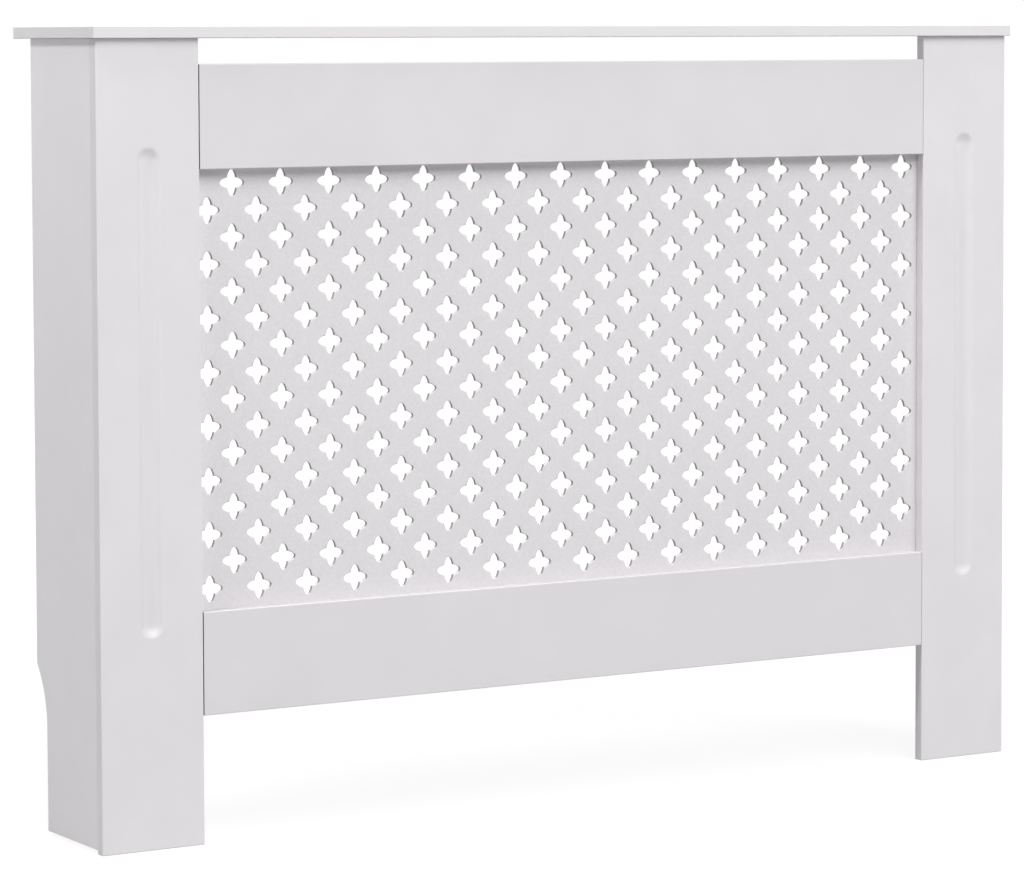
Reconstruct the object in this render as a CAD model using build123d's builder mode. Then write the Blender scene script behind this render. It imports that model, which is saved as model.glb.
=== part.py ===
from build123d import *
from math import hypot
import os

os.makedirs("parts", exist_ok=True)

# Radiator cover of painted MDF boards. The front faces -Y and the wall stands behind it, at +Y.
# The origin is the bottom centre of the whole cover, and every size is in millimetres.

# ---- driving sizes of the whole cover ----
overall_width = 1120.0
overall_depth = 190.0  # front edge of the top panel to the wall
overall_height = 815.0
board = 12.0  # top panel, stiles and rails
side_board = 8.0
lattice_board = 3.0

# ---- top panel ----
side_overhang = 4.0
front_overhang = 5.0
wall_gap = 33.0  # from the side panels' back edges to the wall

# ---- front frame ----
stile_width = 112.0
rail_height = 104.0
air_slot = 25.5  # open slot between the top panel and the upper rail
floor_opening = 129.5  # open height below the lower rail
left_joint = 0.8  # open joint at the rails' left ends
right_joint = 0.2  # the same at their right ends

# ---- flute routed down the middle of each stile ----
flute_width = 23.0
flute_depth = 3.0
flute_from_top = 108.0  # top edge of the stile to the flute's end
left_flute_from_floor = 213.0  # the two flutes end at slightly different heights
right_flute_from_floor = 205.0

# ---- lower back corner of the side panels, cut out for the skirting board ----
skirting_depth = 23.0
skirting_straight = 108.0  # height at which the cut starts to curve back
skirting_height = 172.0  # height at which it meets the back edge
side_lift = 4.0  # the side panels stop this much above the floor

# ---- lattice panel and its four-petal holes ----
lattice_columns = 16
lattice_rows = 8  # in each of the two staggered sets
lattice_lap = 20.0  # how far the panel reaches behind the stiles and rails
lattice_margin = 4.0  # mean bare strip between the outer holes and the frame
lattice_shift_x = -3.2  # the punched pattern sits off the middle of the frame's opening
lattice_shift_z = 3.3
petal_reach = 13.5  # centre of a hole to a petal's tip
petal_half_width = 5.6  # of the long oval that two facing petals make
petal_end_reach = 13.1  # centre to the flat that stands for the rounded tip
petal_end_half = 2.7

# ---- inside battens and blocks ----
batten = 18.0  # square section
batten_from_floor = 30.0
block_back_room = 32.0  # from the top blocks' back ends to the side panels' back edges

# ---- dowels between rails and stiles ----
dowel_radius = 4.0  # to its corners
dowel_flats = 8  # dowels and their bores are drawn with flats, because they are hidden
dowel_length = 30.0
dowel_end_room = 1.0  # each bore is this much deeper than its half of the dowel

# ---- wall brackets, each on a block of its own ----
bracket_block_height = 50.0
bracket_block_length = 60.0
bracket_block_room = 2.0  # from the block's back end to the side panel's back edge
bracket_steel = 2.0
bracket_height = 20.0
bracket_wall_leg = 30.0
bracket_overlap = 42.0  # how far the other leg reaches forwards from the side panel's back edge
bracket_from_top = 78.0  # underside of the top panel to the bracket's middle
wall_hole_radius = 2.5
wall_hole_from_leg = 17.0  # outer face of the bracket's long leg to the hole's centre

# ---- places that follow from the sizes above ----
stile_height = overall_height - board
body_half = overall_width / 2 - side_overhang
wall_y = overall_depth / 2
stile_front_y = front_overhang - overall_depth / 2
board_middle_y = stile_front_y + board / 2
stile_back_y = stile_front_y + board
side_back_y = wall_y - wall_gap
side_inner_x = body_half - side_board
opening_half = body_half - stile_width
stile_middle_x = body_half - stile_width / 2
upper_rail_top = stile_height - air_slot
upper_rail_bottom = upper_rail_top - rail_height
lower_rail_top = floor_opening + rail_height
rail_left_x = -opening_half + left_joint
rail_right_x = opening_half - right_joint
rail_middle_x = (rail_left_x + rail_right_x) / 2
upper_rail_middle_z = upper_rail_bottom + rail_height / 2
lower_rail_middle_z = floor_opening + rail_height / 2
dowel_heights = [(lower_rail_middle_z, 0), (upper_rail_middle_z, 0)]
bore_depth = dowel_length / 2 + dowel_end_room
block_length = side_back_y - block_back_room - (stile_back_y + batten)

# Planes in which X runs right and Z up. Their normals point forwards, so boards are extruded backwards.
front_plane = Plane((0, stile_front_y, 0), x_dir=(1, 0, 0), z_dir=(0, -1, 0))
lattice_plane = Plane((0, stile_back_y, 0), x_dir=(1, 0, 0), z_dir=(0, -1, 0))


# The top panel reaches past the side panels on both sides and at the front, and back to the wall.
with BuildPart() as top_panel:
    with BuildSketch(Plane.XY.offset(stile_height)):
        Rectangle(overall_width, overall_depth)
    extrude(amount=board)
top_panel.part.label = "top_panel"
export_step(top_panel.part, "parts/top_panel.step")


# Each stile is a plain board with one shallow round-bottomed flute, whose ends run out as round dishes.
flute_radius = (flute_width**2 / 4 + flute_depth**2) / (2 * flute_depth)
flute_high_z = stile_height - flute_from_top - flute_width / 2
for side, hand, from_floor in ((-1, "left", left_flute_from_floor), (1, "right", right_flute_from_floor)):
    middle_x = side * stile_middle_x
    flute_low_z = from_floor + flute_width / 2
    flute_left = (middle_x - flute_width / 2, stile_front_y)
    flute_right = (middle_x + flute_width / 2, stile_front_y)
    flute_bottom = (middle_x, stile_front_y + flute_depth)
    bore_plane = Plane((side * opening_half, board_middle_y, 0), x_dir=(0, 0, 1), z_dir=(side, 0, 0))
    with BuildPart() as stile:
        with BuildSketch(front_plane):
            with Locations((middle_x, stile_height / 2)):
                Rectangle(stile_width, stile_height)
        extrude(amount=-board)
        with BuildSketch(Plane.XY.offset(flute_low_z)):
            with BuildLine():
                ThreePointArc(flute_left, flute_bottom, flute_right)
                Line(flute_right, flute_left)
            make_face()
        extrude(amount=flute_high_z - flute_low_z, mode=Mode.SUBTRACT)
        for end_z in (flute_low_z, flute_high_z):
            with BuildSketch(Plane.XY.offset(end_z)):
                with BuildLine():
                    RadiusArc(flute_right, flute_bottom, flute_radius)
                    Polyline(flute_bottom, (middle_x, stile_front_y), flute_right)
                make_face()
            revolve(axis=Axis((middle_x, stile_front_y, end_z), (0, 1, 0)), mode=Mode.SUBTRACT)
        with BuildSketch(bore_plane):
            with Locations(*dowel_heights):
                RegularPolygon(dowel_radius, dowel_flats)
        extrude(amount=bore_depth, mode=Mode.SUBTRACT)
    stile.part.label = hand + "_stile"
    export_step(stile.part, "parts/" + hand + "_stile.step")


# The rails butt against the stiles, with their faces flush and a bore for a dowel in each end.
for middle_z, word in ((upper_rail_middle_z, "upper"), (lower_rail_middle_z, "lower")):
    with BuildPart() as rail:
        with BuildSketch(front_plane):
            with Locations((rail_middle_x, middle_z)):
                Rectangle(rail_right_x - rail_left_x, rail_height)
        extrude(amount=-board)
        for end_x, inwards in ((rail_left_x, 1), (rail_right_x, -1)):
            with BuildSketch(Plane((end_x, board_middle_y, middle_z), z_dir=(inwards, 0, 0))):
                RegularPolygon(dowel_radius, dowel_flats)
            extrude(amount=bore_depth, mode=Mode.SUBTRACT)
    rail.part.label = word + "_rail"
    export_step(rail.part, "parts/" + word + "_rail.step")


# One beech dowel crosses each of the four joints, half in the stile and half in the rail.
with BuildPart() as rail_dowels:
    for side in (-1, 1):
        dowel_start_x = side * opening_half - dowel_length / 2
        with BuildSketch(Plane((dowel_start_x, board_middle_y, 0), x_dir=(0, 0, 1), z_dir=(1, 0, 0))):
            with Locations(*dowel_heights):
                RegularPolygon(dowel_radius, dowel_flats)
        extrude(amount=dowel_length)
rail_dowels.part.label = "rail_dowels"
export_step(rail_dowels.part, "parts/rail_dowels.step")


# The lattice is a thin perforated board behind the frame. Each hole is four petals round one centre:
# two crossed ovals, drawn with straight edges. The holes stand in two sets of columns and rows,
# half a pitch apart both ways.
opening_height = upper_rail_bottom - lower_rail_top
opening_middle_z = (upper_rail_bottom + lower_rail_top) / 2
pitch_x = (2 * opening_half - 2 * lattice_margin - 2 * petal_reach) / (lattice_columns - 0.5)
pitch_z = (opening_height - 2 * lattice_margin - 2 * petal_reach) / (lattice_rows - 0.5)
notch = petal_reach * petal_half_width / hypot(petal_reach, petal_half_width)
petal_corners = ((petal_end_reach, -petal_end_half), (petal_end_reach, petal_end_half), (notch, notch))
hole_outline = []
for turn_x, turn_z in ((1, 0), (0, 1), (-1, 0), (0, -1)):
    for along, across in petal_corners:
        hole_outline.append((along * turn_x - across * turn_z, along * turn_z + across * turn_x))
with BuildPart() as lattice_panel:
    with BuildSketch(lattice_plane):
        with Locations((0, opening_middle_z)):
            Rectangle(2 * opening_half + 2 * lattice_lap, opening_height + 2 * lattice_lap)
        for stagger in (-1, 1):
            set_middle_x = lattice_shift_x + stagger * pitch_x / 4
            set_middle_z = opening_middle_z + lattice_shift_z + stagger * pitch_z / 4
            with Locations((set_middle_x, set_middle_z)):
                with GridLocations(pitch_x, pitch_z, lattice_columns, lattice_rows):
                    Polygon(*hole_outline, align=None, mode=Mode.SUBTRACT)
    extrude(amount=-lattice_board)
lattice_panel.part.label = "lattice_panel"
export_step(lattice_panel.part, "parts/lattice_panel.step")


# Each side panel stands behind its stile and is cut away at the lower back corner, so that it clears
# a skirting board. The cut is straight, then an arc that meets the back edge at a corner.
cut_y = side_back_y - skirting_depth
for side, hand in ((-1, "left"), (1, "right")):
    with BuildPart() as side_panel:
        with BuildSketch(Plane.YZ.offset(side * body_half)):
            with BuildLine():
                Polyline((stile_back_y, side_lift), (cut_y, side_lift), (cut_y, skirting_straight))
                TangentArc((cut_y, skirting_straight), (side_back_y, skirting_height), tangent=(0, 1))
                Polyline(
                    (side_back_y, skirting_height),
                    (side_back_y, stile_height),
                    (stile_back_y, stile_height),
                    (stile_back_y, side_lift),
                )
            make_face()
        extrude(amount=-side * side_board)
    side_panel.part.label = hand + "_side_panel"
    export_step(side_panel.part, "parts/" + hand + "_side_panel.step")

    # A square batten ties the stile to the side panel inside the corner.
    batten_middle_x = side * (side_inner_x - batten / 2)
    with BuildPart() as corner_batten:
        with BuildSketch(Plane.XY.offset(batten_from_floor)):
            with Locations((batten_middle_x, stile_back_y + batten / 2)):
                Rectangle(batten, batten)
        extrude(amount=stile_height - batten_from_floor)
    corner_batten.part.label = hand + "_corner_batten"
    export_step(corner_batten.part, "parts/" + hand + "_corner_batten.step")

    # A block of the same section holds the top panel down on the side panel.
    with BuildPart() as top_block:
        with BuildSketch(Plane.XY.offset(stile_height - batten)):
            with Locations((batten_middle_x, stile_back_y + batten + block_length / 2)):
                Rectangle(batten, block_length)
        extrude(amount=batten)
    top_block.part.label = hand + "_top_block"
    export_step(top_block.part, "parts/" + hand + "_top_block.step")

    # The side panel is too thin to hold a bracket's screws, so a block behind it takes them.
    bracket_middle_z = stile_height - bracket_from_top
    block_middle_y = side_back_y - bracket_block_room - bracket_block_length / 2
    with BuildPart() as bracket_block:
        with BuildSketch(Plane.XY.offset(bracket_middle_z - bracket_block_height / 2)):
            with Locations((batten_middle_x, block_middle_y)):
                Rectangle(batten, bracket_block_length)
        extrude(amount=bracket_block_height)
    bracket_block.part.label = hand + "_bracket_block"
    export_step(bracket_block.part, "parts/" + hand + "_bracket_block.step")

    # A bent steel strip runs from the block's inner face back to the wall and turns inwards there.
    # The wall leg has the hole for the wall screw.
    leg_x = side * (side_inner_x - batten)
    leg_inner_x = leg_x - side * bracket_steel
    wall_leg_x = leg_x - side * bracket_wall_leg
    bracket_front_y = side_back_y - bracket_overlap
    with BuildPart() as wall_bracket:
        with BuildSketch(Plane.XY.offset(bracket_middle_z - bracket_height / 2)):
            with BuildLine():
                Polyline(
                    (leg_x, bracket_front_y),
                    (leg_x, wall_y),
                    (wall_leg_x, wall_y),
                    (wall_leg_x, wall_y - bracket_steel),
                    (leg_inner_x, wall_y - bracket_steel),
                    (leg_inner_x, bracket_front_y),
                    close=True,
                )
            make_face()
        extrude(amount=bracket_height)
        with BuildSketch(Plane((0, wall_y, 0), x_dir=(1, 0, 0), z_dir=(0, -1, 0))):
            with Locations((leg_x - side * wall_hole_from_leg, bracket_middle_z)):
                Circle(wall_hole_radius)
        extrude(amount=bracket_steel, mode=Mode.SUBTRACT)
    wall_bracket.part.label = hand + "_wall_bracket"
    export_step(wall_bracket.part, "parts/" + hand + "_wall_bracket.step")
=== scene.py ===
from math import asin, pi, radians, sqrt

import bmesh
import bpy
from mathutils import Euler, Matrix, Vector


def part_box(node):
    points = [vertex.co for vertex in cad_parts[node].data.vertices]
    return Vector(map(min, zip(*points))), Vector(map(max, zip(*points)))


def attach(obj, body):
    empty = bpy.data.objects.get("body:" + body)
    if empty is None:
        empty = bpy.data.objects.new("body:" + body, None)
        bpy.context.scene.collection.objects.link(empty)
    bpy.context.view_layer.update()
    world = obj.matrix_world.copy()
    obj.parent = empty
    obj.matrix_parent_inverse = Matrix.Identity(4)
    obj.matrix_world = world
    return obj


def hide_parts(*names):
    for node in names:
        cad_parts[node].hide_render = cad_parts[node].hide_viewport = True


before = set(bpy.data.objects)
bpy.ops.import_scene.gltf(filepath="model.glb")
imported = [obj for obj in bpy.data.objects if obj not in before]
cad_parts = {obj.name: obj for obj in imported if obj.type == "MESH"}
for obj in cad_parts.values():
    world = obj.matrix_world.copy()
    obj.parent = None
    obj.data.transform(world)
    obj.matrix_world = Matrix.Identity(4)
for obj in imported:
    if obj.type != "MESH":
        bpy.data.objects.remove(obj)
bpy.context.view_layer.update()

# A painted radiator cover. Metres, the front faces -Y and the wall stands behind it, at +Y.
MM = 0.001
HANDS = {"left": -1, "right": 1}  # the two sides of the cover, and which way each lies along X


# ---- camera, at the photograph's place ----
IMAGE_WIDTH = 1024
IMAGE_HEIGHT = 884
FOCAL_PIXELS = 4044.5
OPTICAL_ROW = 300.0  # the row that the lens points at, counted from the top
CAMERA_PLACE = (-2.2363, -3.6704, 0.7990)
CAMERA_YAW = 31.006  # degrees to the right of straight at the wall
CAMERA_PITCH = -3.663  # degrees above level, so it looks down
CAMERA_ROLL = -0.191  # degrees anticlockwise

camera_data = bpy.data.cameras.new("camera")
camera_data.sensor_width = 36.0
camera_data.lens = FOCAL_PIXELS * camera_data.sensor_width / IMAGE_WIDTH
camera_data.shift_y = -(IMAGE_HEIGHT / 2 - OPTICAL_ROW) / IMAGE_WIDTH
camera_data.clip_end = 100.0
camera = bpy.data.objects.new("camera", camera_data)
aim = Euler((radians(90 + CAMERA_PITCH), 0, radians(-CAMERA_YAW))).to_matrix()
roll = Matrix.Rotation(radians(CAMERA_ROLL), 3, "Z")
camera.matrix_world = Matrix.Translation(CAMERA_PLACE) @ (aim @ roll).to_4x4()
bpy.context.collection.objects.link(camera)
bpy.context.scene.camera = camera
bpy.context.scene.view_settings.view_transform = "Standard"


# ---- materials ----
# The size of each pattern. Real fibres and pores are finer, and are drawn coarse enough to show.
PAINT_CLOUD = 90 * MM
ORANGE_PEEL = 1.1 * MM
FIBRE_LAYER = 1.6 * MM
FIBRE_SPECKLE = 0.8 * MM
HARDBOARD_PEBBLE = 2.4 * MM
PINE_RING = 9.77 * MM
BEECH_RING = 4.19 * MM
WOOD_PORE = 0.9 * MM
ZINC_BLOTCH = 5 * MM


def linear(hex_colour):
    """Turns an sRGB hex colour into the linear one that a shader takes."""
    channels = [int(hex_colour[i : i + 2], 16) / 255 for i in (0, 2, 4)]
    light = [c / 12.92 if c <= 0.04045 else ((c + 0.055) / 1.055) ** 2.4 for c in channels]
    return (*light, 1.0)


def add(tree, kind, sockets=None, **settings):
    """Adds a node. sockets gives an input, by its name or number, its value or the output that feeds it."""
    node = tree.nodes.new(kind)
    for name, value in settings.items():
        setattr(node, name, value)
    for name, value in (sockets or {}).items():
        if isinstance(value, bpy.types.NodeSocket):
            tree.links.new(value, node.inputs[name])
        else:
            node.inputs[name].default_value = value
    return node


def new_material(name):
    """An empty material, its node tree, and the Object coordinates that its patterns read."""
    material = bpy.data.materials.new(name)
    material.use_nodes = True
    tree = material.node_tree
    tree.nodes.clear()
    return material, tree, add(tree, "ShaderNodeTexCoord").outputs["Object"]


# A colour Mix node's inputs by number, which are the share, the colour at 0 and the colour at 1, and its
# colour output.
SHARE, FIRST, SECOND = 0, 6, 7
MIXED = 2

# Fibre layers change across a board's thickness, along the axis named, and hardly along its broad faces.
FIBRE_LAYERS = {"X": (1.0, 0.02, 0.02), "Y": (0.02, 1.0, 0.02), "Z": (0.02, 0.02, 1.0)}


def sprayed_mdf(name, thickness_axis, light_hex, dark_hex):
    """Satin white paint sprayed on medium-density fibreboard: an even white with a faint lilac tinge and
    orange peel, broad clouds that hardly show, and fine layers of fibre in the sawn edges."""
    material, tree, place = new_material(name)
    clouds = add(tree, "ShaderNodeTexNoise", {"Vector": place, "Scale": 1 / PAINT_CLOUD, "Detail": 3.0})
    flattened = add(tree, "ShaderNodeMapping", {"Vector": place, "Scale": FIBRE_LAYERS[thickness_axis]})
    layers = add(
        tree,
        "ShaderNodeTexNoise",
        {"Vector": flattened.outputs["Vector"], "Scale": 1 / FIBRE_LAYER, "Detail": 2.0, "Roughness": 0.6},
    )
    both = add(
        tree, "ShaderNodeMath", {0: clouds.outputs["Fac"], 1: layers.outputs["Fac"]}, operation="ADD"
    )
    share = add(tree, "ShaderNodeMapRange", {"Value": both.outputs[0], "From Min": 0.7, "From Max": 1.3})
    colour = add(
        tree,
        "ShaderNodeMix",
        {SHARE: share.outputs["Result"], FIRST: linear(dark_hex), SECOND: linear(light_hex)},
        data_type="RGBA",
    )
    peel = add(tree, "ShaderNodeTexNoise", {"Vector": place, "Scale": 1 / ORANGE_PEEL, "Detail": 2.0})
    relief = add(
        tree, "ShaderNodeBump", {"Height": peel.outputs["Fac"], "Strength": 0.35, "Distance": 0.02 * MM}
    )
    gloss = add(
        tree,
        "ShaderNodeMapRange",
        {
            "Value": clouds.outputs["Fac"],
            "From Min": 0.3,
            "From Max": 0.7,
            "To Min": 0.36,
            "To Max": 0.46,
        },
    )
    shader = add(
        tree,
        "ShaderNodeBsdfPrincipled",
        {
            "Base Color": colour.outputs[MIXED],
            "Roughness": gloss.outputs["Result"],
            "Normal": relief.outputs["Normal"],
            "IOR": 1.5,
        },
    )
    add(tree, "ShaderNodeOutputMaterial", {"Surface": shader.outputs["BSDF"]})
    return material


# The boards' whites differ by a shade: the top's and the side panels' are lighter than the stiles'.
# The rails' darker white is painted shade. The upper faces have a darker one still, painted shade,
# because most of the lamps' light falls on them and would wash them out.
paint_top = sprayed_mdf("sprayed_mdf_top", "Z", "E7E4E7", "E3E0E3")
upper_face_painted_shade = sprayed_mdf("sprayed_mdf_upper_face_painted_shade", "Z", "C8C5C8", "C4C1C4")
paint_stile = sprayed_mdf("sprayed_mdf_stile", "Y", "E6E3E6", "E2DFE2")
rail_painted_shade = sprayed_mdf("sprayed_mdf_rail_painted_shade", "Y", "E1DEE1", "DDDADD")
paint_side = sprayed_mdf("sprayed_mdf_side", "X", "F1EEF1", "EDEAED")


def sprayed_hardboard():
    """The same paint on thin hardboard. It dries with a fine pebbled face, seen as a faint mottle."""
    material, tree, place = new_material("sprayed_hardboard")
    pebbles = add(
        tree,
        "ShaderNodeTexNoise",
        {"Vector": place, "Scale": 1 / HARDBOARD_PEBBLE, "Detail": 3.0, "Roughness": 0.6},
    )
    share = add(
        tree, "ShaderNodeMapRange", {"Value": pebbles.outputs["Fac"], "From Min": 0.35, "From Max": 0.65}
    )
    colour = add(
        tree,
        "ShaderNodeMix",
        {SHARE: share.outputs["Result"], FIRST: linear("DDDADD"), SECOND: linear("E3E0E3")},
        data_type="RGBA",
    )
    relief = add(
        tree, "ShaderNodeBump", {"Height": pebbles.outputs["Fac"], "Strength": 0.6, "Distance": 0.12 * MM}
    )
    shader = add(
        tree,
        "ShaderNodeBsdfPrincipled",
        {
            "Base Color": colour.outputs[MIXED],
            "Roughness": 0.48,
            "Normal": relief.outputs["Normal"],
            "IOR": 1.5,
        },
    )
    add(tree, "ShaderNodeOutputMaterial", {"Surface": shader.outputs["BSDF"]})
    return material


def bare_fibre(name, light_hex, dark_hex):
    """Cut fibreboard that the spray only dusted or never reached: dull, with a speckle of fibres. Both its
    uses below also carry painted shade.
    """
    material, tree, place = new_material(name)
    fibres = add(
        tree,
        "ShaderNodeTexNoise",
        {"Vector": place, "Scale": 1 / FIBRE_SPECKLE, "Detail": 3.0, "Roughness": 0.7},
    )
    colour = add(
        tree,
        "ShaderNodeMix",
        {SHARE: fibres.outputs["Fac"], FIRST: linear(dark_hex), SECOND: linear(light_hex)},
        data_type="RGBA",
    )
    shader = add(
        tree,
        "ShaderNodeBsdfPrincipled",
        {"Base Color": colour.outputs[MIXED], "Roughness": 0.8, "IOR": 1.5},
    )
    add(tree, "ShaderNodeOutputMaterial", {"Surface": shader.outputs["BSDF"]})
    return material


DIAGONAL_WAVE = 10 * sqrt(2)  # how many radians a diagonal wave turns in a unit across its bands

# Wood changes little along its grain, which runs along the axis named.
GRAIN = {"X": (0.06, 1.0, 1.0), "Y": (1.0, 0.06, 1.0), "Z": (1.0, 1.0, 0.06)}


def bare_wood(name, grain_axis, early_hex, late_hex, ring_width):
    """Pine or beech, planed or turned: bands of early and late wood that run along the piece, and fine
    pores."""
    material, tree, place = new_material(name)
    stretched = add(tree, "ShaderNodeMapping", {"Vector": place, "Scale": GRAIN[grain_axis]})
    rings = add(
        tree,
        "ShaderNodeTexWave",
        {
            "Vector": stretched.outputs["Vector"],
            "Scale": 2 * pi / (DIAGONAL_WAVE * ring_width),
            "Distortion": 3.0,
            "Detail": 3.0,
            "Detail Scale": 1.2,
        },
        wave_type="BANDS",
        bands_direction="DIAGONAL",
        wave_profile="SAW",
    )
    pores = add(
        tree,
        "ShaderNodeTexNoise",
        {"Vector": stretched.outputs["Vector"], "Scale": 1 / WOOD_PORE, "Detail": 3.0},
    )
    blend = add(
        tree, "ShaderNodeMath", {0: rings.outputs["Fac"], 1: pores.outputs["Fac"]}, operation="MULTIPLY"
    )
    colour = add(
        tree,
        "ShaderNodeMix",
        {SHARE: blend.outputs[0], FIRST: linear(early_hex), SECOND: linear(late_hex)},
        data_type="RGBA",
    )
    relief = add(
        tree, "ShaderNodeBump", {"Height": pores.outputs["Fac"], "Strength": 0.4, "Distance": 0.06 * MM}
    )
    shader = add(
        tree,
        "ShaderNodeBsdfPrincipled",
        {
            "Base Color": colour.outputs[MIXED],
            "Roughness": 0.62,
            "Normal": relief.outputs["Normal"],
            "IOR": 1.5,
        },
    )
    add(tree, "ShaderNodeOutputMaterial", {"Surface": shader.outputs["BSDF"]})
    return material


def zinc_plate(name, bright_hex, dull_hex, roughness):
    """Zinc electroplated on steel: a pale metal with soft, duller blotches."""
    material, tree, place = new_material(name)
    blotches = add(tree, "ShaderNodeTexNoise", {"Vector": place, "Scale": 1 / ZINC_BLOTCH, "Detail": 4.0})
    colour = add(
        tree,
        "ShaderNodeMix",
        {SHARE: blotches.outputs["Fac"], FIRST: linear(dull_hex), SECOND: linear(bright_hex)},
        data_type="RGBA",
    )
    gloss = add(
        tree,
        "ShaderNodeMapRange",
        {
            "Value": blotches.outputs["Fac"],
            "From Min": 0.3,
            "From Max": 0.7,
            "To Min": roughness - 0.06,
            "To Max": roughness + 0.08,
        },
    )
    shader = add(
        tree,
        "ShaderNodeBsdfPrincipled",
        {"Base Color": colour.outputs[MIXED], "Metallic": 1.0, "Roughness": gloss.outputs["Result"]},
    )
    add(tree, "ShaderNodeOutputMaterial", {"Surface": shader.outputs["BSDF"]})
    return material


hardboard = sprayed_hardboard()
# The lattice's hole walls: a bare cut edge, and painted shade where they face left or right.
hole_wall_edge_and_shade = bare_fibre("punched_hardboard_edge_and_painted_shade", "C4C0C1", "A09C9D")
# The rails' sawn ends: bare fibreboard, drawn dark also as painted shade in the joints beside them.
sawn_end_and_joint_shade = bare_fibre("sawn_mdf_end_and_joint_shade", "5F5852", "47423E")
pine_upright = bare_wood("planed_pine_upright", "Z", "E3C89C", "C79E63", PINE_RING)
pine_level = bare_wood("planed_pine_level", "Y", "E3C89C", "C79E63", PINE_RING)
beech = bare_wood("turned_beech", "X", "D9B58A", "C49A6C", BEECH_RING)
bracket_zinc = zinc_plate("zinc_plated_steel", "BABDBF", "A0A4A7", 0.38)
screw_zinc = zinc_plate("yellow_zinc_plated_screw", "CDB98A", "B39B66", 0.3)


# ---- making pieces ----
SAME_PLACE = 0.01 * MM  # points nearer each other than this are one point
CORNER = radians(35)  # edges that turn more than this are corners, and the others steps of an arc
FACING = 0.9  # a face that has this much of an axis in its normal faces that way
FLAT_FACE_WEIGHT = 80  # out of 100: how far the flat faces rule the shading of the rounded edges


def finish(bm, name, slot, materials, *nodes):
    """Turns a bmesh into a piece of the cover, smooth on its rounded edges and flat on its flat faces."""
    bmesh.ops.recalc_face_normals(bm, faces=bm.faces)
    mesh = bpy.data.meshes.new(name)
    bm.to_mesh(mesh)
    bm.free()
    for material in materials:
        mesh.materials.append(material)
    mesh.shade_smooth()
    piece = bpy.data.objects.new(name, mesh)
    bpy.context.collection.objects.link(piece)
    piece.modifiers.new("flat_faces", "WEIGHTED_NORMAL").weight = FLAT_FACE_WEIGHT
    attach(piece, "root")
    if nodes:
        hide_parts(*nodes)
    return piece


def corner_edges(bm):
    """The edges where two faces meet in a corner."""
    return [e for e in bm.edges if len(e.link_faces) == 2 and e.calc_face_angle() > CORNER]


def soften(bm, edges, width, segments):
    """Rounds edges over, as sanding and paint do."""
    bmesh.ops.bevel(
        bm, geom=edges, offset=width, segments=segments, affect="EDGES", profile=0.5, material=-1
    )


def chain(bm, points, closed=False):
    """A line of vertices and edges through the points."""
    verts = [bm.verts.new(p) for p in points]
    ends = verts[1:] + verts[:1] if closed else verts[1:]
    for first, second in zip(verts, ends):
        bm.edges.new((first, second))
    return verts


def rectangle(bm, start_x, end_x, y, bottom, top):
    """The outline of an upright rectangle that faces the front or the wall."""
    corners = [(start_x, y, bottom), (end_x, y, bottom), (end_x, y, top), (start_x, y, top)]
    return chain(bm, corners, closed=True)


def only(geom, kind):
    """The vertices, or the edges, in a list that holds both."""
    return [g for g in geom if isinstance(g, kind)]


def shift(bm, geom, offset):
    """Moves the vertices in such a list, and their edges and faces with them."""
    bmesh.ops.translate(bm, vec=offset, verts=only(geom, bmesh.types.BMVert))


BOARD_ARRIS = 0.9 * MM  # the rounding of the painted boards' edges
PINE_ARRIS = 0.5 * MM


def plain_board(node, slot, materials, arris):
    """A board or batten with no shaping but its softened edges, in the place of its CAD node. A second
    material goes on its upper face, and a third on its left and right ends."""
    low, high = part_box(node)
    bm = bmesh.new()
    bmesh.ops.create_cube(bm, size=1.0)
    bmesh.ops.scale(bm, vec=high - low, verts=bm.verts)
    bmesh.ops.translate(bm, vec=(low + high) / 2, verts=bm.verts)
    soften(bm, bm.edges[:], arris, 3)
    bm.normal_update()
    # Painted shade: the upper face takes a darker white, and a rail's ends a dark sawn end that also stands
    # for the shade in its joints.
    for face in bm.faces:
        if len(materials) > 1 and face.normal.z > FACING:
            face.material_index = 1
        if len(materials) > 2 and abs(face.normal.x) > FACING:
            face.material_index = 2
    return finish(bm, node + "_board", slot, materials, node)


plain_board("top_panel", "painted_boards", [paint_top, upper_face_painted_shade], BOARD_ARRIS)
# The rails' white is darker than the stiles', as painted shade.
plain_board("upper_rail", "painted_boards", [rail_painted_shade, upper_face_painted_shade, sawn_end_and_joint_shade], BOARD_ARRIS)
plain_board("lower_rail", "painted_boards", [rail_painted_shade, upper_face_painted_shade, sawn_end_and_joint_shade], BOARD_ARRIS)
for hand in HANDS:
    plain_board(hand + "_corner_batten", "bare_pine", [pine_upright], PINE_ARRIS)
    plain_board(hand + "_top_block", "bare_pine", [pine_level], PINE_ARRIS)
    plain_board(hand + "_bracket_block", "bare_pine", [pine_level], PINE_ARRIS)


# ---- stiles, each with a flute that ends in two round dishes ----
FLUTE_WIDTH = 23 * MM
FLUTE_DEPTH = 3 * MM
FLUTE_FROM_TOP = 108 * MM  # from the stile's top to the flute's upper end
FLUTE_FROM_FLOOR = {"left": 213 * MM, "right": 205 * MM}  # and from the floor to its lower end
FLUTE_STEPS = 7  # faces from the flute's bottom to its rim
DISH_STEPS = 28  # faces round each dish
FLUTE_RIM = 2.6 * MM  # how far the rim is rounded over
flute_radius = (FLUTE_WIDTH**2 / 4 + FLUTE_DEPTH**2) / (2 * FLUTE_DEPTH)
flute_half_angle = asin(FLUTE_WIDTH / 2 / flute_radius)


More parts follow.
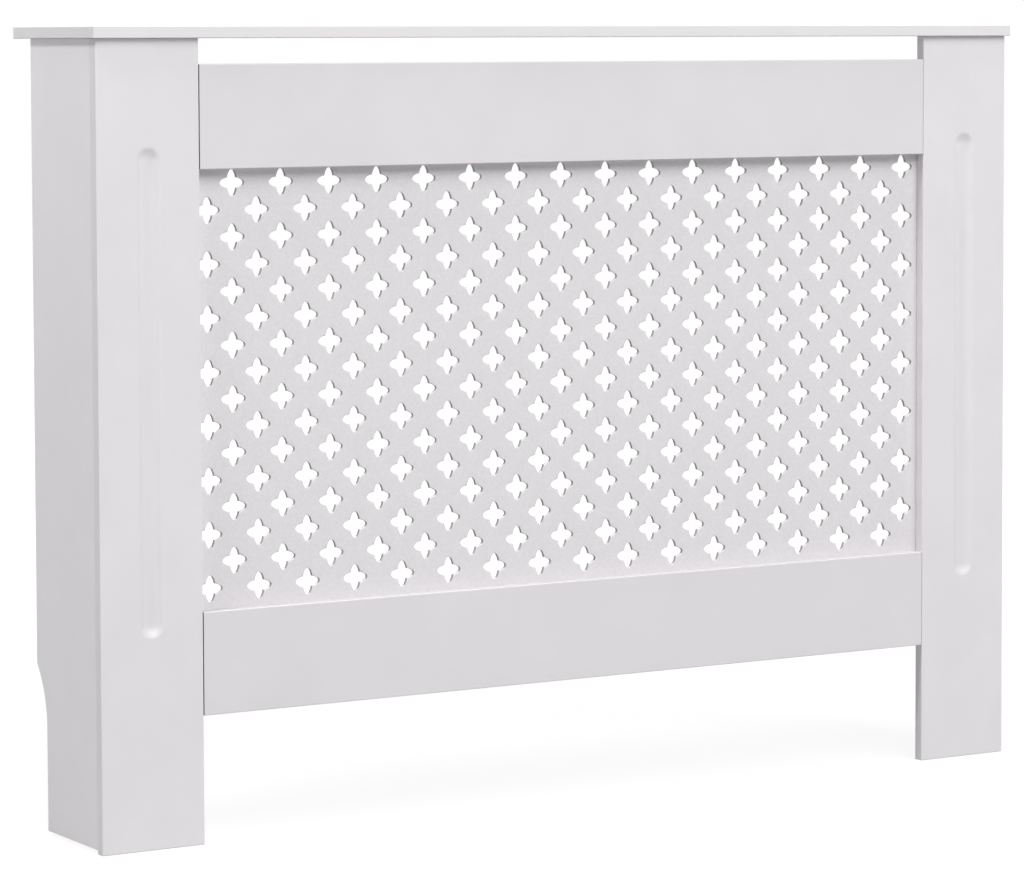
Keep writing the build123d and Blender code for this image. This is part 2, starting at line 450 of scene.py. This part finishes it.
def fluted_stile(hand):
    """One stile. Half of its flute's cross-section is spun half round at each end, which makes the dishes,
    and the whole of it is drawn out from the one to the other."""
    node = hand + "_stile"
    low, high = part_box(node)
    middle = (low.x + high.x) / 2
    deepest = low.y + FLUTE_DEPTH
    dish_low = FLUTE_FROM_FLOOR[hand] + FLUTE_WIDTH / 2
    dish_high = high.z - FLUTE_FROM_TOP - FLUTE_WIDTH / 2
    bm = bmesh.new()
    for level, half_turn in ((dish_low, pi), (dish_high, -pi)):
        bmesh.ops.spin(
            bm,
            geom=[bm.verts.new((middle, deepest, level))],
            cent=(middle, deepest - flute_radius, 0),
            axis=(0, 0, 1),
            angle=-flute_half_angle,
            steps=FLUTE_STEPS,
        )
        section = [v for v in bm.verts if abs(v.co.z - level) < SAME_PLACE]
        edges = [e for e in bm.edges if not e.link_faces and e.verts[0] in section]
        bmesh.ops.spin(
            bm,
            geom=section + edges,
            cent=(middle, low.y, level),
            axis=(0, 1, 0),
            angle=half_turn,
            steps=DISH_STEPS,
        )
    bmesh.ops.remove_doubles(bm, verts=bm.verts, dist=SAME_PLACE)
    open_edges = [e for e in bm.edges if len(e.link_faces) == 1]
    whole_section = [e for e in open_edges if all(abs(v.co.z - dish_low) < SAME_PLACE for v in e.verts)]
    straight = bmesh.ops.extrude_edge_only(bm, edges=whole_section)["geom"]
    shift(bm, straight, (0, 0, dish_high - dish_low))
    bmesh.ops.remove_doubles(bm, verts=bm.verts, dist=SAME_PLACE)
    rim = [e for e in bm.edges if len(e.link_faces) == 1]
    corners = rectangle(bm, low.x, high.x, low.y, low.z, high.z)
    border = [e for e in bm.edges if e.verts[0] in corners and e.verts[1] in corners]
    bmesh.ops.triangle_fill(bm, use_beauty=True, edges=rim + border)
    walls = bmesh.ops.extrude_edge_only(bm, edges=border)["geom"]
    shift(bm, walls, (0, high.y - low.y, 0))
    bmesh.ops.contextual_create(bm, geom=only(walls, bmesh.types.BMEdge))
    bmesh.ops.recalc_face_normals(bm, faces=bm.faces)
    soften(bm, [e for e in rim if e.is_valid], FLUTE_RIM, 3)
    soften(bm, corner_edges(bm), BOARD_ARRIS, 3)
    return finish(bm, node + "_board", "painted_boards", [paint_stile], node)


for hand in HANDS:
    fluted_stile(hand)


# ---- side panels, cut out for the skirting board at the lower back corner ----
SKIRTING_DEPTH = 23 * MM
SKIRTING_STRAIGHT = 108 * MM  # height of the cut's straight part, from where it curves back to the wall
SKIRTING_HEIGHT = 172 * MM
CUT_STEPS = 12  # faces along the curve


def cut_side_panel(hand):
    """One side panel. The curved part of its cut is spun from the top of the straight part, and ends where
    the rest of the outline starts."""
    node = hand + "_side_panel"
    low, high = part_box(node)
    rise = SKIRTING_HEIGHT - SKIRTING_STRAIGHT
    radius = (SKIRTING_DEPTH**2 + rise**2) / (2 * SKIRTING_DEPTH)
    cut_y = high.y - SKIRTING_DEPTH
    bm = bmesh.new()
    verts = chain(
        bm,
        [
            (low.x, high.y, SKIRTING_HEIGHT),
            (low.x, high.y, high.z),
            (low.x, low.y, high.z),
            (low.x, low.y, low.z),
            (low.x, cut_y, low.z),
            (low.x, cut_y, SKIRTING_STRAIGHT),
        ],
    )
    bmesh.ops.spin(
        bm,
        geom=[verts[-1]],
        cent=(low.x, cut_y + radius, SKIRTING_STRAIGHT),
        axis=(1, 0, 0),
        angle=-asin(rise / radius),
        steps=CUT_STEPS,
    )
    bmesh.ops.remove_doubles(bm, verts=bm.verts, dist=SAME_PLACE)
    face = bmesh.ops.edgenet_fill(bm, edges=bm.edges)["faces"]
    grown = bmesh.ops.extrude_face_region(bm, geom=face)["geom"]
    shift(bm, grown, (high.x - low.x, 0, 0))
    bmesh.ops.recalc_face_normals(bm, faces=bm.faces)
    soften(bm, corner_edges(bm), BOARD_ARRIS, 3)
    return finish(bm, node + "_board", "painted_boards", [paint_side], node)


for hand in HANDS:
    cut_side_panel(hand)


# ---- lattice panel ----
LATTICE_COLUMNS = 16
LATTICE_ROWS = 8  # in each of the two staggered sets
LATTICE_MARGIN = 4 * MM  # from the opening's edges to the pattern, if it were in the middle
LATTICE_SHIFT = Vector((-3.2 * MM, 0, 3.3 * MM))  # how far off the middle it is
PETAL_REACH = 13.5 * MM
PETAL_HALF_WIDTH = 5.6 * MM
OVAL_STEPS = 28  # round the whole oval that two facing petals make
HOLE_RIM = 0.5 * MM
EDGE_AND_SHADE_FACING = 0.75  # hole walls that face left or right at least this squarely stay grey: a bare edge and painted shade


def petalled_hole(bm):
    """The outline of one hole, upright and round the origin. A petal is an oval cut off by two planes, and
    the hole is that petal turned to the four sides."""
    oval = bmesh.ops.create_circle(bm, cap_ends=False, radius=1.0, segments=OVAL_STEPS)["verts"]
    bmesh.ops.scale(bm, vec=(PETAL_REACH, PETAL_HALF_WIDTH, 1), verts=oval)
    for cut in ((-1, 1, 0), (-1, -1, 0)):
        bmesh.ops.bisect_plane(
            bm, geom=bm.verts[:] + bm.edges[:], plane_co=(0, 0, 0), plane_no=cut, clear_outer=True
        )
    petal = bm.verts[:] + bm.edges[:]
    for quarter in (1, 2, 3):
        turn = Matrix.Rotation(quarter * pi / 2, 3, "Z")
        copy = bmesh.ops.duplicate(bm, geom=petal)["geom"]
        bmesh.ops.rotate(bm, cent=(0, 0, 0), matrix=turn, verts=only(copy, bmesh.types.BMVert))
    bmesh.ops.remove_doubles(bm, verts=bm.verts, dist=SAME_PLACE)
    bmesh.ops.rotate(bm, cent=(0, 0, 0), matrix=Matrix.Rotation(pi / 2, 3, "X"), verts=bm.verts)
    return bm.verts[:] + bm.edges[:]


def lattice():
    """The perforated board. The hole is repeated in two sets, each half a pitch off the other both ways,
    and the face between the holes is filled and thickened."""
    low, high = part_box("lattice_panel")
    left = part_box("left_stile")[1].x
    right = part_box("right_stile")[0].x
    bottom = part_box("lower_rail")[1].z
    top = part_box("upper_rail")[0].z
    pitch_x = (right - left - 2 * LATTICE_MARGIN - 2 * PETAL_REACH) / (LATTICE_COLUMNS - 0.5)
    pitch_z = (top - bottom - 2 * LATTICE_MARGIN - 2 * PETAL_REACH) / (LATTICE_ROWS - 0.5)
    middle = Vector(((left + right) / 2, low.y, (bottom + top) / 2)) + LATTICE_SHIFT

    bm = bmesh.new()
    hole = petalled_hole(bm)
    for quarter_pitch in (-0.25, 0.25):
        for column in range(LATTICE_COLUMNS):
            for row in range(LATTICE_ROWS):
                step_x = (column - (LATTICE_COLUMNS - 1) / 2 + quarter_pitch) * pitch_x
                step_z = (row - (LATTICE_ROWS - 1) / 2 + quarter_pitch) * pitch_z
                copy = bmesh.ops.duplicate(bm, geom=hole)["geom"]
                shift(bm, copy, middle + Vector((step_x, 0, step_z)))
    bmesh.ops.delete(bm, geom=only(hole, bmesh.types.BMVert), context="VERTS")
    rims = bm.edges[:]
    rectangle(bm, low.x, high.x, low.y, low.z, high.z)
    bmesh.ops.triangle_fill(bm, use_beauty=True, edges=bm.edges[:])
    grown = bmesh.ops.extrude_face_region(bm, geom=bm.faces[:])["geom"]
    shift(bm, grown, (0, high.y - low.y, 0))
    bmesh.ops.recalc_face_normals(bm, faces=bm.faces)
    # Painted shade, on a bare cut edge: the hole walls that face left or right get the grey material, and
    # the rest stay painted white.
    for face in bm.faces:
        centre = face.calc_center_median()
        off_the_ends = low.x + MM < centre.x < high.x - MM
        if off_the_ends and abs(face.normal.x) > EDGE_AND_SHADE_FACING:
            face.material_index = 1
    soften(bm, [e for e in rims if e.is_valid], HOLE_RIM, 1)
    return finish(bm, "lattice_board", "painted_lattice", [hardboard, hole_wall_edge_and_shade], "lattice_panel")


lattice()


# ---- wall brackets ----
BEND_RADIUS = 3 * MM  # outside
BEND_STEPS = 6
WALL_HOLE_RADIUS = 2.5 * MM
WALL_HOLE_FROM_LEG = 17 * MM
WALL_HOLE_STEPS = 24
STEEL = 2 * MM
STEEL_ARRIS = 0.3 * MM


def inner_and_outer(low, high, side):
    """The X of a box's face towards the middle of the cover, and of the face away from it."""
    return (high.x, low.x) if side < 0 else (low.x, high.x)


def bent_bracket(hand, side):
    """The outer skin of a strip with its wall leg pierced, bent round to the leg that lies on the block,
    then thickened inwards."""
    node = hand + "_wall_bracket"
    low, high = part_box(node)
    inner_x, outer_x = inner_and_outer(low, high, side)
    bend_x = outer_x - side * BEND_RADIUS
    bm = bmesh.new()
    ring = bmesh.ops.create_circle(
        bm, cap_ends=False, radius=WALL_HOLE_RADIUS, segments=WALL_HOLE_STEPS
    )["verts"]
    bmesh.ops.rotate(bm, cent=(0, 0, 0), matrix=Matrix.Rotation(pi / 2, 3, "X"), verts=ring)
    shift(bm, ring, (outer_x - side * WALL_HOLE_FROM_LEG, high.y, (low.z + high.z) / 2))
    rectangle(bm, inner_x, bend_x, high.y, low.z, high.z)
    bmesh.ops.triangle_fill(bm, use_beauty=True, edges=bm.edges[:])
    bend_line = [e for e in bm.edges if all(abs(v.co.x - bend_x) < SAME_PLACE for v in e.verts)]
    bent = bmesh.ops.spin(
        bm,
        geom=bend_line + list(bend_line[0].verts),
        cent=(bend_x, high.y - BEND_RADIUS, 0),
        axis=(0, 0, 1),
        angle=-side * pi / 2,
        steps=BEND_STEPS,
    )["geom_last"]
    leg = bmesh.ops.extrude_edge_only(bm, edges=only(bent, bmesh.types.BMEdge))["geom"]
    shift(bm, leg, (0, low.y + BEND_RADIUS - high.y, 0))
    bmesh.ops.remove_doubles(bm, verts=bm.verts, dist=SAME_PLACE)
    bmesh.ops.recalc_face_normals(bm, faces=bm.faces)
    bm.normal_update()
    wall_faces = [f for f in bm.faces if abs(f.normal.y) > FACING]
    if sum(f.normal.y for f in wall_faces) < 0:
        bmesh.ops.reverse_faces(bm, faces=bm.faces[:])
    bmesh.ops.solidify(bm, geom=bm.faces[:], thickness=STEEL)
    bmesh.ops.recalc_face_normals(bm, faces=bm.faces)
    soften(bm, corner_edges(bm), STEEL_ARRIS, 1)
    return finish(bm, hand + "_bracket_strip", "zinc_steel", [bracket_zinc], node)


for hand, side in HANDS.items():
    bent_bracket(hand, side)


# ---- screws that hold the cover together, seen from behind and from inside ----
WOOD_HEAD = 3.6 * MM  # radius
SMALL_HEAD = 2.9 * MM
HEAD_SIDES = 12
HEAD_HEIGHT = 1.6 * MM
HEAD_DOME = ((0.55, 0.94), (0.45, 0.66))  # each step up: its share of the height, and how far it narrows
RECESS_ARMS = 4
RECESS_REACH = 0.5  # of the head's radius
RECESS_WAIST = 0.3  # of the reach: where the sides of two arms meet
RECESS_DEPTH = 0.9 * MM


def domed_head(bm, radius):
    """A low domed head with a cross recess, on the origin and facing up."""
    bmesh.ops.create_circle(bm, cap_ends=False, radius=radius, segments=HEAD_SIDES)
    base = bm.edges[:]
    top = base
    for rise, narrowing in HEAD_DOME:
        grown = bmesh.ops.extrude_edge_only(bm, edges=top)["geom"]
        bmesh.ops.scale(bm, vec=(narrowing, narrowing, 1), verts=only(grown, bmesh.types.BMVert))
        shift(bm, grown, (0, 0, rise * HEAD_HEIGHT))
        top = only(grown, bmesh.types.BMEdge)
    star = bmesh.ops.create_circle(
        bm, cap_ends=False, radius=RECESS_REACH * radius, segments=2 * RECESS_ARMS
    )["verts"]
    bmesh.ops.scale(bm, vec=(RECESS_WAIST, RECESS_WAIST, 1), verts=star[::2])
    shift(bm, star, (0, 0, HEAD_HEIGHT))
    star_edges = [e for e in bm.edges if e.verts[0] in star and e.verts[1] in star]
    bmesh.ops.triangle_fill(bm, use_beauty=True, edges=top + star_edges)
    pit = bmesh.ops.extrude_edge_only(bm, edges=star_edges)["geom"]
    shift(bm, pit, (0, 0, -RECESS_DEPTH))
    bmesh.ops.triangle_fill(bm, use_beauty=True, edges=only(pit, bmesh.types.BMEdge))
    bmesh.ops.contextual_create(bm, geom=base)
    return bm.verts[:] + bm.edges[:] + bm.faces[:]


def screws(name, head_radius, places):
    """One piece of many screws. Each place is a point on a surface and the way the head faces there."""
    bm = bmesh.new()
    head = domed_head(bm, head_radius)
    for point, facing in places:
        copy = bmesh.ops.duplicate(bm, geom=head)["geom"]
        turn = Vector((0, 0, 1)).rotation_difference(Vector(facing)).to_matrix()
        bmesh.ops.rotate(bm, cent=(0, 0, 0), matrix=turn, verts=only(copy, bmesh.types.BMVert))
        shift(bm, copy, point)
    bmesh.ops.delete(bm, geom=only(head, bmesh.types.BMVert), context="VERTS")
    return finish(bm, name, "zinc_steel", [screw_zinc])


def spread(start, end, count):
    """Evenly spaced numbers from start to end."""
    return [start + (end - start) * k / (count - 1) for k in range(count)]


BATTEN_SCREWS = 5  # on each of a batten's two free faces
BATTEN_END_ROOM = 45 * MM
BATTEN_STAGGER = 20 * MM  # how much lower those into the side panel are than those into the stile
TOP_BLOCK_END_ROOM = 15 * MM
BRACKET_BLOCK_END_ROOM = 8 * MM
BRACKET_SCREWS_FROM_END = (8 * MM, 30 * MM)
LATTICE_SCREWS_ACROSS = 8
LATTICE_SCREWS_UP = 5  # with the two in the corners
LATTICE_LAP = 20 * MM  # how far the lattice board reaches behind the frame, with its screws midway

batten_places = []
block_places = []
strip_places = []
for hand, side in HANDS.items():
    towards_middle = (-side, 0, 0)
    # A side's batten and both its blocks are as wide as each other and stand in line.
    low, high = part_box(hand + "_corner_batten")
    inner_x = inner_and_outer(low, high, side)[0]
    middle_x = (low.x + high.x) / 2
    for z in spread(low.z + BATTEN_END_ROOM, high.z - BATTEN_END_ROOM, BATTEN_SCREWS):
        batten_places.append(((middle_x, high.y, z), (0, 1, 0)))
        batten_places.append(((inner_x, (low.y + high.y) / 2, z - BATTEN_STAGGER), towards_middle))
    low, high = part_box(hand + "_top_block")
    for y in (low.y + TOP_BLOCK_END_ROOM, high.y - TOP_BLOCK_END_ROOM):
        block_places.append(((middle_x, y, low.z), (0, 0, -1)))
    block_places.append(((inner_x, (low.y + high.y) / 2, (low.z + high.z) / 2), towards_middle))
    low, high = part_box(hand + "_bracket_block")
    for z in (low.z + BRACKET_BLOCK_END_ROOM, high.z - BRACKET_BLOCK_END_ROOM):
        block_places.append(((inner_x, (low.y + high.y) / 2, z), towards_middle))
    low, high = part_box(hand + "_wall_bracket")
    for from_end in BRACKET_SCREWS_FROM_END:
        point = (inner_x - side * STEEL, low.y + from_end, (low.z + high.z) / 2)
        strip_places.append((point, towards_middle))

low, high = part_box("lattice_panel")
left, right = low.x + LATTICE_LAP / 2, high.x - LATTICE_LAP / 2
bottom, top = low.z + LATTICE_LAP / 2, high.z - LATTICE_LAP / 2
lattice_places = []
for x in spread(left, right, LATTICE_SCREWS_ACROSS):
    for z in (bottom, top):
        lattice_places.append(((x, high.y, z), (0, 1, 0)))
for z in spread(bottom, top, LATTICE_SCREWS_UP)[1:-1]:
    for x in (left, right):
        lattice_places.append(((x, high.y, z), (0, 1, 0)))

screws("batten_screws", WOOD_HEAD, batten_places)
screws("block_screws", WOOD_HEAD, block_places)
screws("bracket_screws", WOOD_HEAD, strip_places)
screws("lattice_screws", SMALL_HEAD, lattice_places)


# ---- what stays as the CAD made it ----
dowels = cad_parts["rail_dowels"]
dowels.data.materials.clear()
dowels.data.materials.append(beech)


# ---- floor, world and lamps ----
WHITE = (1, 1, 1, 1)
FLOOR_SIZE = 40.0
FLOOR_BOUNCE = (0.38, 0.38, 0.38, 1)  # what the floor gives back to the cover's lower parts
FLOOR_SHADE = (0.1, 0.1, 0.1, 1)  # the part of its seen colour that a shadow takes away
GLOW_NEAR, GLOW_FAR = 0.91, 1.0  # the rest of its seen colour, near the cover and away from it
NEAR, FAR = 0.9, 2.4  # metres from the middle of the cover
AMBIENT = 0.06  # the world's light on the cover
LAMP_DISTANCE = 8.0
LAMP_TARGET = Vector((0, 0, 0.4))


def seen(tree):
    """1 for what the camera sees, straight or in metal or glass, and 0 for light on its way round."""
    rays = add(tree, "ShaderNodeLightPath")
    mirrored = add(
        tree,
        "ShaderNodeMath",
        {0: rays.outputs["Is Glossy Ray"], 1: rays.outputs["Is Transmission Ray"]},
        operation="MAXIMUM",
    )
    either = add(
        tree,
        "ShaderNodeMath",
        {0: rays.outputs["Is Camera Ray"], 1: mirrored.outputs[0]},
        operation="MAXIMUM",
    )
    return either.outputs[0]


def pale_floor():
    """A plain pale floor. It looks almost white round the cover, whose shadow stays on it, and white
    farther off."""
    material, tree, place = new_material("pale_floor")
    lit = add(tree, "ShaderNodeBsdfDiffuse", {"Color": FLOOR_BOUNCE})
    shaded = add(tree, "ShaderNodeBsdfDiffuse", {"Color": FLOOR_SHADE})
    away = add(tree, "ShaderNodeVectorMath", {0: place}, operation="LENGTH")
    strength = add(
        tree,
        "ShaderNodeMapRange",
        {
            "Value": away.outputs["Value"],
            "From Min": NEAR,
            "From Max": FAR,
            "To Min": GLOW_NEAR,
            "To Max": GLOW_FAR,
        },
    )
    glow = add(tree, "ShaderNodeEmission", {"Color": WHITE, "Strength": strength.outputs["Result"]})
    shown = add(tree, "ShaderNodeAddShader", {0: shaded.outputs[0], 1: glow.outputs[0]})
    choice = add(tree, "ShaderNodeMixShader", {0: seen(tree), 1: lit.outputs[0], 2: shown.outputs[0]})
    add(tree, "ShaderNodeOutputMaterial", {"Surface": choice.outputs[0]})
    return material


def white_studio():
    """A world that looks white and gives a little light of its own."""
    world = bpy.data.worlds.new("white_studio")
    world.use_nodes = True
    tree = world.node_tree
    tree.nodes.clear()
    ambient = add(tree, "ShaderNodeBackground", {"Color": WHITE, "Strength": AMBIENT})
    white = add(tree, "ShaderNodeBackground", {"Color": WHITE, "Strength": 1.0})
    choice = add(tree, "ShaderNodeMixShader", {0: seen(tree), 1: ambient.outputs[0], 2: white.outputs[0]})
    add(tree, "ShaderNodeOutputWorld", {"Surface": choice.outputs[0]})
    return world


bm = bmesh.new()
bmesh.ops.create_grid(bm, x_segments=1, y_segments=1, size=FLOOR_SIZE / 2)
floor_mesh = bpy.data.meshes.new("floor")
bm.to_mesh(floor_mesh)
bm.free()
floor_mesh.materials.append(pale_floor())
floor = bpy.data.objects.new("floor", floor_mesh)
bpy.context.collection.objects.link(floor)

bpy.context.scene.world = white_studio()

# Two high round softboxes cast the shadows that the photograph shows, and two low ones fill in on the right
# and behind. Angles are in degrees: azimuth 0 is in front of the cover, and -90 on its left.
for name, azimuth, elevation, diameter, watts in (
    ("front_softbox", 6, 48, 6.8, 664),
    ("left_softbox", -82, 61, 1.7, 425),
    ("right_softbox", 92, 9, 6.0, 190),
    ("rear_softbox", 180, 9, 6.0, 300),
):
    lamp = bpy.data.lights.new(name, "AREA")
    lamp.shape = "DISK"
    lamp.size = diameter
    lamp.energy = watts
    source = bpy.data.objects.new(name, lamp)
    source.rotation_euler = Euler((radians(90 - elevation), 0, radians(azimuth)))
    source.location = LAMP_TARGET + source.rotation_euler.to_matrix() @ Vector((0, 0, LAMP_DISTANCE))
    bpy.context.collection.objects.link(source)
